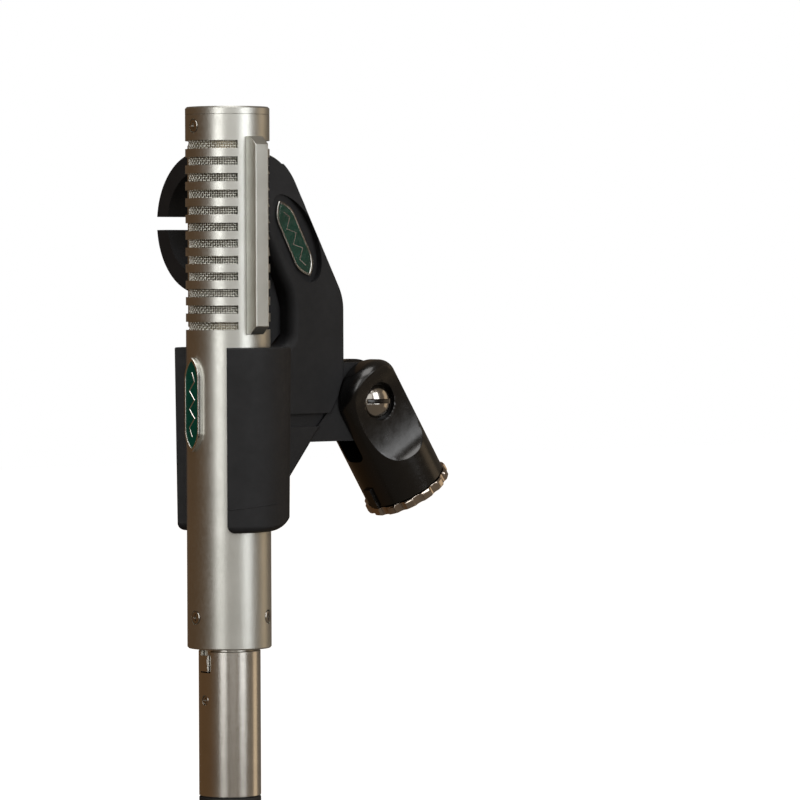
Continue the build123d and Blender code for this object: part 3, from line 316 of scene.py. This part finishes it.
def mesh_piece(name, maker, material):
    """New mesh object whose faces the maker adds to a bmesh."""
    shape = bmesh.new()
    maker(shape)
    bmesh.ops.recalc_face_normals(shape, faces=shape.faces)
    data = bpy.data.meshes.new(name)
    shape.to_mesh(data)
    shape.free()
    data.materials.append(material)
    piece = bpy.data.objects.new(name, data)
    bpy.context.scene.collection.objects.link(piece)
    for face in data.polygons:
        face.use_smooth = True
    return piece


def join_rings(shape, rings):
    """Closed skin from each ring of corners to the next, with a face over both ends."""
    sides = len(rings[0])
    for near, far in zip(rings, rings[1:]):
        for k in range(sides):
            shape.faces.new((near[k], near[(k + 1) % sides], far[(k + 1) % sides], far[k]))
    shape.faces.new(rings[0][::-1])
    shape.faces.new(rings[-1])


def add_wire(shape, points, normals, radius, sides=5):
    """Closed round wire through the points. A normal at each point sets how its ring stands."""
    rings = []
    for i, point in enumerate(points):
        ahead = points[min(i + 1, len(points) - 1)] - points[max(i - 1, 0)]
        across = ahead.cross(normals[i]).normalized()
        upright = across.cross(ahead).normalized()
        ring = []
        for k in range(sides):
            turn = 2 * pi * k / sides
            ring.append(shape.verts.new(point + radius * (cos(turn) * across + sin(turn) * upright)))
        rings.append(ring)
    join_rings(shape, rings)


MESH_PITCH = 0.72 * MM
WIRE_R = 0.15 * MM
STEPS_PER_PITCH = 3
SLOT_COUNT = 12
SLOT_PITCH = 4.856 * MM
SLOT_TOP = FOOT_Z + 148.8 * MM
WINDOW_HALF = 1.9 * MM
SCREEN_HALF_ANGLE = radians(70)
CAD_SHEET_HALF_ANGLE = radians(73)
CLEARANCE = 0.01 * MM


def woven_screen(shape, radius, facing):
    """Plain woven wire on a cylinder, where the slots show it. facing is -1 for the front."""
    span = 2 * radius * SCREEN_HALF_ANGLE
    uprights = round(span / MESH_PITCH)
    windows = []
    for step in range(SLOT_COUNT):
        middle = SLOT_TOP - step * SLOT_PITCH
        first = round((middle - WINDOW_HALF - FOOT_Z) / MESH_PITCH)
        last = round((middle + WINDOW_HALF - FOOT_Z) / MESH_PITCH)
        windows.append((first, last))

    def out(angle):
        return Vector((sin(angle), facing * cos(angle), 0))

    def spot(arc, z, lift):
        angle = arc / radius
        return Vector((AXIS_X, AXIS_Y, z)) + out(angle) * (radius + lift)

    for i in range(uprights + 1):
        arc = -span / 2 + i * MESH_PITCH
        for first, last in windows:
            count = (last - first) * STEPS_PER_PITCH
            points = []
            for k in range(count + 1):
                phase = first + k / STEPS_PER_PITCH
                points.append(spot(arc, FOOT_Z + phase * MESH_PITCH, WIRE_R * cos(pi * (phase + i))))
            add_wire(shape, points, [out(arc / radius)] * len(points), WIRE_R)
    for first, last in windows:
        for row in range(first, last + 1):
            points = []
            normals = []
            for k in range(uprights * STEPS_PER_PITCH + 1):
                phase = k / STEPS_PER_PITCH
                arc = -span / 2 + phase * MESH_PITCH
                points.append(spot(arc, FOOT_Z + row * MESH_PITCH, -WIRE_R * cos(pi * (phase + row))))
                normals.append(out(arc / radius))
            add_wire(shape, points, normals, WIRE_R)


def make_screens(materials):
    """Woven wire in place of the CAD sheets."""
    for name, facing in (("front", -1), ("back", 1)):
        low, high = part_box(f"grille_mesh_{name}")
        radius = (high.x - low.x) / 2 / sin(CAD_SHEET_HALF_ANGLE) - 2 * WIRE_R - CLEARANCE
        screen = mesh_piece(f"woven_screen_{name}", lambda shape: woven_screen(shape, radius, facing),
                            materials["steel_mesh"])
        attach(screen, "microphone")
        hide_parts(f"grille_mesh_{name}")


BADGE_TILT = radians(27.7)
MOTIF_WIDTH = 0.45 * MM
MOTIF_RISE = 0.10 * MM
MOTIF_TURNS = 7
MOTIF_PROFILE = ((-1, 0), (-0.6, 1), (0.6, 1), (1, 0))


def zigzag(shape, middle, across, along, out, half_width, half_length):
    """Raised zigzag line on a flat face, drawn from the face's middle point."""
    spots = []
    for i in range(MOTIF_TURNS + 1):
        swing = half_width * (0 if i in (0, MOTIF_TURNS) else (-1) ** i)
        spots.append((swing, half_length * (2 * i / MOTIF_TURNS - 1)))
    loops = []
    for i, (x, y) in enumerate(spots):
        before = spots[max(i - 1, 0)]
        after = spots[min(i + 1, MOTIF_TURNS)]
        run = Vector((after[0] - before[0], after[1] - before[1])).normalized()
        side = Vector((-run.y, run.x)) * MOTIF_WIDTH / 2
        loop = []
        for way, height in MOTIF_PROFILE:
            spot = middle + across * (x + way * side.x) + along * (y + way * side.y)
            loop.append(shape.verts.new(spot + out * height * MOTIF_RISE))
        loops.append(loop)
    join_rings(shape, loops)


def make_motifs(materials):
    """Silver zigzag on each badge's enamel."""
    tube_low, tube_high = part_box("badge_enamel")
    clip_low, clip_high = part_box("clip_badge_enamel")
    tube_middle = (tube_low + tube_high) / 2
    clip_middle = (clip_low + clip_high) / 2
    rows = (
        ("tube_badge_motif", "microphone", Vector((tube_middle.x, tube_low.y, tube_middle.z)),
         Vector((1, 0, 0)), Vector((0, 0, 1)), Vector((0, -1, 0)), 1.25 * MM, 9.5 * MM),
        ("clip_badge_motif", "clip", Vector((clip_high.x, clip_middle.y, clip_middle.z)),
         Vector((0, cos(BADGE_TILT), sin(BADGE_TILT))), Vector((0, -sin(BADGE_TILT), cos(BADGE_TILT))),
         Vector((1, 0, 0)), 1.3 * MM, 9.2 * MM),
    )
    for name, body, *drawing in rows:
        motif = mesh_piece(name, lambda shape: zigzag(shape, *drawing), materials["bright_nickel"])
        for face in motif.data.polygons:
            face.use_smooth = False
        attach(motif, body)


SCREW_SLOT_DEPTH = 1.7 * MM
SCREW_SLOT_HALF = 0.66 * MM
SCREW_SLOT_INSET = 0.9 * MM
# Sizes of the painted-shade sheet: a dark plate that stands for the shadow on the floor of the pivot screw's
# slot.
SHADE_SHEET_SUNK = 0.05 * MM
SHADE_SHEET_PROUD = 0.25 * MM
SHADE_SHEET_RIM = 0.08 * MM


# Used for the painted-shade sheet in the pivot screw's slot.
def slab(shape, low, high):
    """Closed plate between two corners, with its upper edges drawn in."""
    rings = []
    for x, inset in ((low.x, 0), (high.x - SHADE_SHEET_RIM, 0), (high.x, SHADE_SHEET_RIM)):
        ring = []
        for y, z in ((low.y + inset, low.z + inset), (high.y - inset, low.z + inset),
                     (high.y - inset, high.z - inset), (low.y + inset, high.z - inset)):
            ring.append(shape.verts.new((x, y, z)))
        rings.append(ring)
    join_rings(shape, rings)


def make_screw_slot_shade(materials):
    """Painted shade: a dark sheet on the floor of the pivot screw's slot, standing in for the shadow there.
    """
    low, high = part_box("pivot_screw")
    middle = (low + high) / 2
    floor_x = high.x - SCREW_SLOT_DEPTH
    reach = (high.z - low.z) / 2 - SCREW_SLOT_INSET
    corner = Vector((floor_x - SHADE_SHEET_SUNK, middle.y - reach, middle.z - SCREW_SLOT_HALF))
    other = Vector((floor_x + SHADE_SHEET_PROUD, middle.y + reach, middle.z + SCREW_SLOT_HALF))
    # Painted shade: the sheet is gloss black so the slot reads dark, as if in shadow.
    shade_sheet = mesh_piece("screw_slot_painted_shade", lambda shape: slab(shape, corner, other), materials["gloss_black"])
    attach(shade_sheet, "pivot_screw")


COIL_WIRE_R = 0.16 * MM
COIL_TURNS = 5
COIL_STEPS = 18


def make_latch_coil(materials):
    """Coil spring behind the plug's latch."""
    low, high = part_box("latch_spring")
    middle = (low + high) / 2
    radius = (high.z - low.z) / 2 - COIL_WIRE_R - CLEARANCE
    length = high.y - low.y
    count = COIL_TURNS * COIL_STEPS
    points = []
    for i in range(count + 1):
        turn = 2 * pi * i / COIL_STEPS
        along = low.y + COIL_WIRE_R + (length - 2 * COIL_WIRE_R) * i / count
        points.append(Vector((middle.x + radius * cos(turn), along, middle.z + radius * sin(turn))))
    normals = [Vector((0, 1, 0))] * len(points)
    coil = mesh_piece("latch_coil", lambda shape: add_wire(shape, points, normals, COIL_WIRE_R, sides=8),
                      materials["spring_steel"])
    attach(coil, "plug")
    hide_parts("latch_spring")
    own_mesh(coil)


SEAM_R = 0.13 * MM
SEAM_STEPS = 24
SEAM_START = radians(53)
SEAM_END = radians(108)
SEAM_RISES = (("right", 1, 7.0 * MM, 8.6 * MM), ("left", -1, 7.9 * MM, 8.6 * MM))
CAST_FROM = 40 * MM


def make_seams(materials):
    """Fine mould line round each arm of the cradle, near its foot."""
    bpy.context.view_layer.update()
    cradle = frame["nodes"]["clip_cradle"]
    to_cradle = cradle.matrix_world.inverted()
    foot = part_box("clip_cradle")[0].z
    for name, side, start_rise, end_rise in SEAM_RISES:
        points = []
        normals = []
        for i in range(SEAM_STEPS + 1):
            way = i / SEAM_STEPS
            turn = SEAM_START + (SEAM_END - SEAM_START) * way
            outward = Vector((side * sin(turn), -cos(turn), 0))
            height = foot + start_rise + (end_rise - start_rise) * way
            start = Vector((AXIS_X, AXIS_Y, height)) + outward * CAST_FROM
            spot = cradle.ray_cast(to_cradle @ start, to_cradle.to_3x3() @ -outward)[1]
            points.append(cradle.matrix_world @ spot)
            normals.append(outward)
        seam = mesh_piece(f"cradle_seam_{name}",
                          lambda shape: add_wire(shape, points, normals, SEAM_R, sides=6),
                          materials["matte_black"])
        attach(seam, "clip")


# ---------------------------------------------------------------- stage

CAMERA_AZIMUTH = radians(51)
CAMERA_PITCH = radians(1.52)
CAMERA_ROLL = radians(-0.2)
CAMERA_DISTANCE = 1.392
CAMERA_LENS = 211.5
SENSOR_WIDTH = 36
NEAREST = 0.05
FARTHEST = 50
AIM_SIDEWAYS = 50.8 * MM
AIM_HEIGHT = 73.2 * MM
LIT_HEIGHT = 90 * MM


def toward(azimuth, elevation):
    """Direction from the microphone to a place. Azimuth 0 is in front of it, and a quarter turn is +X."""
    level = cos(elevation)
    return Vector((sin(azimuth) * level, -cos(azimuth) * level, sin(elevation)))


def facing_back(back):
    """Rotation of a camera or lamp that looks against that direction."""
    return (-back).to_track_quat("-Z", "Y")


def make_camera():
    """Long lens, nearly level, aimed to the right of the microphone's axis at mid height."""
    right = Vector((cos(CAMERA_AZIMUTH), sin(CAMERA_AZIMUTH), 0))
    back = toward(CAMERA_AZIMUTH, CAMERA_PITCH)
    aim = Vector((AXIS_X, AXIS_Y, FOOT_Z + AIM_HEIGHT)) + right * AIM_SIDEWAYS
    lens = bpy.data.cameras.new("camera")
    lens.lens = CAMERA_LENS
    lens.sensor_width = SENSOR_WIDTH
    lens.clip_start = NEAREST
    lens.clip_end = FARTHEST
    camera = bpy.data.objects.new("camera", lens)
    camera.rotation_mode = "QUATERNION"
    roll = Matrix.Rotation(CAMERA_ROLL, 3, "Z").to_quaternion()
    camera.rotation_quaternion = facing_back(back) @ roll
    camera.location = aim + back * CAMERA_DISTANCE
    bpy.context.scene.collection.objects.link(camera)
    bpy.context.scene.camera = camera


def area_light(name, azimuth, elevation, distance, size, power, colour):
    """Soft light that looks at the microphone. Azimuth is counted as the camera's is."""
    back = toward(radians(azimuth), radians(elevation))
    lamp = bpy.data.lights.new(name, "AREA")
    lamp.shape = "RECTANGLE"
    lamp.size, lamp.size_y = size
    lamp.energy = power
    lamp.color = colour
    holder = bpy.data.objects.new(name, lamp)
    holder.location = Vector((AXIS_X, AXIS_Y, FOOT_Z + LIT_HEIGHT)) + back * distance
    holder.rotation_mode = "QUATERNION"
    holder.rotation_quaternion = facing_back(back)
    bpy.context.scene.collection.objects.link(holder)


ROOM_AZIMUTH = radians(120)
ROOM_RISE = 0.1
ROOM_FROM = -0.85
ROOM_TO = 0.75
ROOM_FAR = (0.10, 0.055, 0.025, 1)
ROOM_MIDDLE = (0.12, 0.10, 0.08, 1)
ROOM_NEAR = (0.15, 0.12, 0.09, 1)


def make_world():
    """White behind the object, and a dim room in its reflections, browner away from the light."""
    world = bpy.data.worlds.new("studio")
    world.use_nodes = True
    tree = world.node_tree
    tree.nodes.clear()
    direction = tree.nodes.new("ShaderNodeTexCoord")
    nearness = tree.nodes.new("ShaderNodeVectorMath")
    nearness.operation = "DOT_PRODUCT"
    nearness.inputs[1].default_value = (sin(ROOM_AZIMUTH), -cos(ROOM_AZIMUTH), ROOM_RISE)
    tree.links.new(direction.outputs["Generated"], nearness.inputs[0])
    depth = tree.nodes.new("ShaderNodeMapRange")
    depth.inputs["From Min"].default_value = ROOM_FROM
    depth.inputs["From Max"].default_value = ROOM_TO
    tree.links.new(nearness.outputs["Value"], depth.inputs["Value"])
    room = tree.nodes.new("ShaderNodeValToRGB")
    room.color_ramp.elements[0].color = ROOM_FAR
    room.color_ramp.elements[1].color = ROOM_NEAR
    middle = room.color_ramp.elements.new(0.5)
    middle.color = ROOM_MIDDLE
    tree.links.new(depth.outputs["Result"], room.inputs["Fac"])
    unseen = tree.nodes.new("ShaderNodeBackground")
    tree.links.new(room.outputs["Color"], unseen.inputs["Color"])
    seen = tree.nodes.new("ShaderNodeBackground")
    seen.inputs["Color"].default_value = (1, 1, 1, 1)
    path = tree.nodes.new("ShaderNodeLightPath")
    choose = tree.nodes.new("ShaderNodeMixShader")
    tree.links.new(path.outputs["Is Camera Ray"], choose.inputs["Fac"])
    tree.links.new(unseen.outputs["Background"], choose.inputs[1])
    tree.links.new(seen.outputs["Background"], choose.inputs[2])
    end = tree.nodes.new("ShaderNodeOutputWorld")
    tree.links.new(choose.outputs["Shader"], end.inputs["Surface"])
    bpy.context.scene.world = world


FLOOR_DROP = 180 * MM
FLOOR_HALF = 6.0


def make_floor():
    """Plain pale floor well below the object, which its stand would hold up."""
    made = Surface("pale_floor", Roughness=0.9)
    made.colour(made.noise(per_mm=0.004, detail=3), (0.93, 0.93, 0.925), (0.97, 0.97, 0.965))
    made.shader.inputs["Emission Color"].default_value = (1, 1, 1, 1)
    made.shader.inputs["Emission Strength"].default_value = 0.95

    def plane(shape):
        corners = [(-1, -1), (1, -1), (1, 1), (-1, 1)]
        level = cad_low.z - FLOOR_DROP
        shape.faces.new([shape.verts.new((x * FLOOR_HALF, y * FLOOR_HALF, level)) for x, y in corners])

    floor = mesh_piece("floor", plane, made.material)
    floor.visible_glossy = False
    floor.visible_diffuse = False


def make_lights():
    """A tall box on each side of the camera, a weak fill, a warm card and soft light from above."""
    # name, azimuth and elevation in degrees, distance and size in metres, watts, colour
    rows = (
        ("left_box", 29, 16, 1.5, (0.66, 1.2), 6.8, (1.0, 0.99, 0.97)),
        ("right_box", 103, 16, 1.5, (0.68, 1.2), 7.6, (0.97, 0.985, 1.0)),
        ("middle_fill", 66, 16, 1.6, (0.80, 1.2), 2.2, (1.0, 1.0, 0.99)),
        ("warm_card", 162, 5, 1.5, (0.60, 1.3), 1.25, (1.0, 0.76, 0.50)),
        ("top_light", 60, 68, 1.4, (1.0, 1.0), 10, (1.0, 0.985, 0.96)),
    )
    for row in rows:
        area_light(*row)


make_camera()
materials = make_materials()
dress_frame(materials)
refine_frame()
make_screens(materials)
make_motifs(materials)
make_screw_slot_shade(materials)
make_seams(materials)
make_latch_coil(materials)
make_world()
make_lights()
make_floor()
bpy.context.scene.view_settings.view_transform = "Standard"
